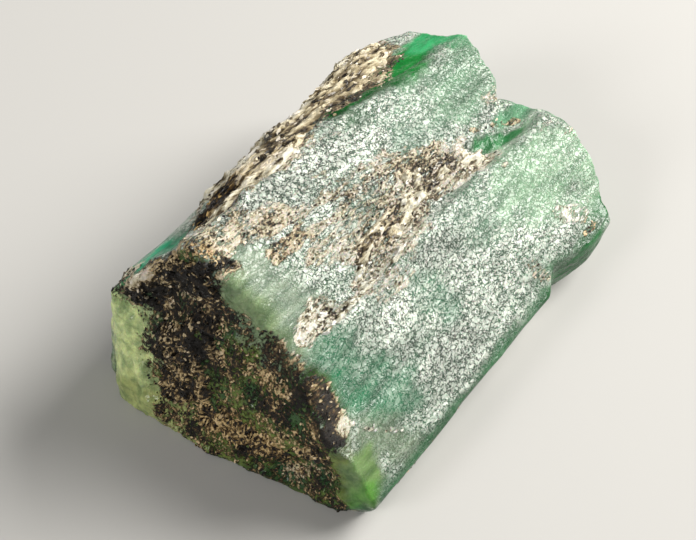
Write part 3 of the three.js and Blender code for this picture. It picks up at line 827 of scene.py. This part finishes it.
def plate_rule():
    rule = bpy.data.node_groups.new("mica_plates", "GeometryNodeTree")
    rule.interface.new_socket("Surface", in_out="INPUT", socket_type="NodeSocketGeometry")
    for name, kind in [("Plates per mm2", "Float"), ("Width mm", "Float"), ("Length", "Float"),
                       ("Lean", "Float"), ("Seed", "Int"), ("Finish", "Material")]:
        rule.interface.new_socket(name, in_out="INPUT", socket_type="NodeSocket" + kind)
    rule.interface.new_socket("Strewn", in_out="OUTPUT", socket_type="NodeSocketGeometry")
    t = Tree(rule)
    named = t.node("NodeGroupInput", out=tuple(range(7)))
    surface, density, width, length, lean, seed, finish = named
    cover = t.node("GeometryNodeInputNamedAttribute", {"data_type": "FLOAT"}, {"Name": "cover"})
    spots, normal = t.node(
        "GeometryNodeDistributePointsOnFaces", {},
        {"Mesh": surface, "Density": density * 1e6 * cover, "Seed": seed}, out=(0, 1))
    upright = t.node("FunctionNodeAlignRotationToVector", {"axis": "Z"}, {"Vector": normal})
    along = t.node(
        "FunctionNodeAlignRotationToVector", {"axis": "X", "pivot_axis": "Z"},
        {"Rotation": upright, "Vector": (1.0, 0.0, 0.0)})
    tilt = t.node(
        "FunctionNodeRandomValue", {"data_type": "FLOAT_VECTOR"},
        {0: (-1.0, -1.0, -0.8), 1: (1.0, 1.0, 0.8), "Seed": seed + 1})
    turn = t.node("FunctionNodeEulerToRotation", {}, {0: t.node(
        "ShaderNodeVectorMath", {"operation": "SCALE"}, {0: tilt, "Scale": lean})})
    leaning = t.node("FunctionNodeRotateRotation", {"rotation_space": "LOCAL"}, {0: along, 1: turn})
    plate = t.node(
        "GeometryNodeMeshCylinder", {"fill_type": "NGON"},
        {"Vertices": 6, "Radius": 0.5 * MM, "Depth": PLATE_THICKNESS * MM})
    size = t.node(
        "FunctionNodeRandomValue", {"data_type": "FLOAT"},
        {2: SMALLEST, 3: LARGEST, "Seed": seed + 2}, out=1)
    breadth = size * width
    scale = t.node("ShaderNodeCombineXYZ", {}, {0: breadth * length, 1: breadth, 2: breadth})
    plates = t.node(
        "GeometryNodeInstanceOnPoints", {},
        {"Points": spots, "Instance": plate, "Rotation": leaning, "Scale": scale})
    base = t.node("GeometryNodeInputNamedAttribute", {"data_type": "FLOAT"}, {"Name": "tone"})
    luck = t.node(
        "FunctionNodeRandomValue", {"data_type": "FLOAT"},
        {2: 0.0, 3: 1.0, "Seed": seed + 3}, out=1)
    own_tone = base - PLATE_DARKER + luck * luck * luck * PLATE_SPREAD
    toned = t.node(
        "GeometryNodeStoreNamedAttribute", {"data_type": "FLOAT", "domain": "INSTANCE"},
        {"Geometry": plates, "Name": "tone", "Value": own_tone})
    real = t.node("GeometryNodeRealizeInstances", {}, {"Geometry": toned})
    finished = t.node("GeometryNodeSetMaterial", {}, {"Geometry": real, "Material": finish})
    end = rule.nodes.new("NodeGroupOutput")
    rule.links.new(finished.socket, end.inputs[0])
    return rule


def strew(surface, name, per_mm2, width, length, lean, seed, finish):
    """A new piece: plates strewn over the surface's mesh by the rule."""
    piece = bpy.data.objects.new(name, surface.data.copy())
    scene.collection.objects.link(piece)
    modifier = piece.modifiers.new("plates", "NODES")
    modifier.node_group = PLATE_RULE
    values = {"Plates per mm2": per_mm2, "Width mm": width, "Length": length,
              "Lean": lean, "Seed": seed, "Finish": finish}
    for socket in PLATE_RULE.interface.items_tree:
        if socket.in_out == "INPUT" and socket.name in values:
            modifier[socket.identifier] = values[socket.name]
    return apply_modifiers(piece)


PLATE_RULE = plate_rule()
print("rule with", len(PLATE_RULE.nodes), "nodes")

# %% [markdown]
# ## Finish of the mica
# Tone runs from black biotite through bronze and tan to cream and silver. Every grain takes its
# own tone around that of its place, and its own tilt, so the crust glitters unevenly. The mica on
# the broken end is granular. The mica along the edge and in the seam is drawn out in streaks.

# %% Mica material
def mica_material(name, lumps, crumbs, stretch, sparkle):
    """Mica whose tones vary in lumps (mm), more or less crumbly, longer along the crystal."""
    material = bpy.data.materials.new(name)
    material.use_nodes = True
    t = Tree(material.node_tree)
    surface = material.node_tree.nodes["Principled BSDF"]
    place = t.millimetres()
    grit, chance = t.facets(place, 0.09, 1.2, stretch=(2.5, 1, 1))
    fine = t.noise(place, lumps, 5, crumbs, stretch=(stretch, 1, 1))
    colour = mica_colour(t, t.attribute("tone", 2), chance, fine, sparkle)
    t.tree.links.new(colour.socket, surface.inputs["Base Color"])
    t.tree.links.new(t.bump(grit + fine * 0.16).socket, surface.inputs["Normal"])
    t.tree.links.new((0.18 + 0.52 * t.step(chance, 0.3, 0.5)).socket, surface.inputs["Roughness"])
    surface.inputs["IOR"].default_value = STONE_IOR
    surface.inputs["Specular IOR Level"].default_value = 0.35
    return material


granular = mica_material("granular_mica", lumps=0.30, crumbs=0.68, stretch=1.5, sparkle=0.9)
streaky = mica_material("streaky_mica", lumps=0.42, crumbs=0.60, stretch=3, sparkle=0.4)
MICA_OF = {"mica_crust_end": granular, "mica_crust_flank": streaky, "mica_crust_seam": streaky}
for node, piece in mica_pieces.items():
    piece.data.materials.append(MICA_OF[node])

# %% Strewn plates
PLATES = {
    # node: plates per mm2, width mm, length to width, lean, seed
    "mica_crust_end": (16, 0.17, 1.2, 0.9, 3),
    "mica_crust_flank": (14, 0.16, 2.2, 0.45, 5),
    "mica_crust_seam": (16, 0.15, 2.0, 0.45, 7),
}
STRAY_PLATES = (14, 0.12, 1.6, 0.5, 11)


def joined(name, pieces):
    """One mesh from several pieces, kept on the first."""
    with bpy.context.temp_override(active_object=pieces[0], selected_editable_objects=pieces):
        bpy.ops.object.join()
    pieces[0].name = name
    return pieces[0]


for node, (per_mm2, width, length, lean, seed) in PLATES.items():
    layer = mica_pieces[node]
    plates = strew(layer, layer.name + "_plates", per_mm2, width, length, lean, seed, MICA_OF[node])
    print(layer.name, len(plates.data.polygons) // 8, "plates")
    mica_pieces[node] = joined(layer.name, [layer, plates])

bed = bpy.data.objects.new("stray_bed", beryl.data.copy())
store(bed.data, "cover", ease(stain, 0.35, 1.0))
stray = strew(bed, "stray_mica", *STRAY_PLATES, granular)
bpy.data.objects.remove(bed)
print("stray plates", len(stray.data.polygons) // 8)

# %% Floor material
PAPER_TINT = (0.55, 0.54, 0.52, 1)
PAPER_ROUGHNESS = 0.8

paper = bpy.data.materials.new("pale_paper")
paper.use_nodes = True
sheet = paper.node_tree.nodes["Principled BSDF"]
sheet.inputs["Base Color"].default_value = PAPER_TINT
sheet.inputs["Roughness"].default_value = PAPER_ROUGHNESS
floor.data.materials.append(paper)
print("floor finished")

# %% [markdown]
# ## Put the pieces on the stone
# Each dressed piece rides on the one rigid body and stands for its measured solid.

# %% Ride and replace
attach(beryl, "root")
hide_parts("emerald_crystal")
for node, piece in mica_pieces.items():
    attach(piece, "root")
    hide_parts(node)
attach(stray, "root")
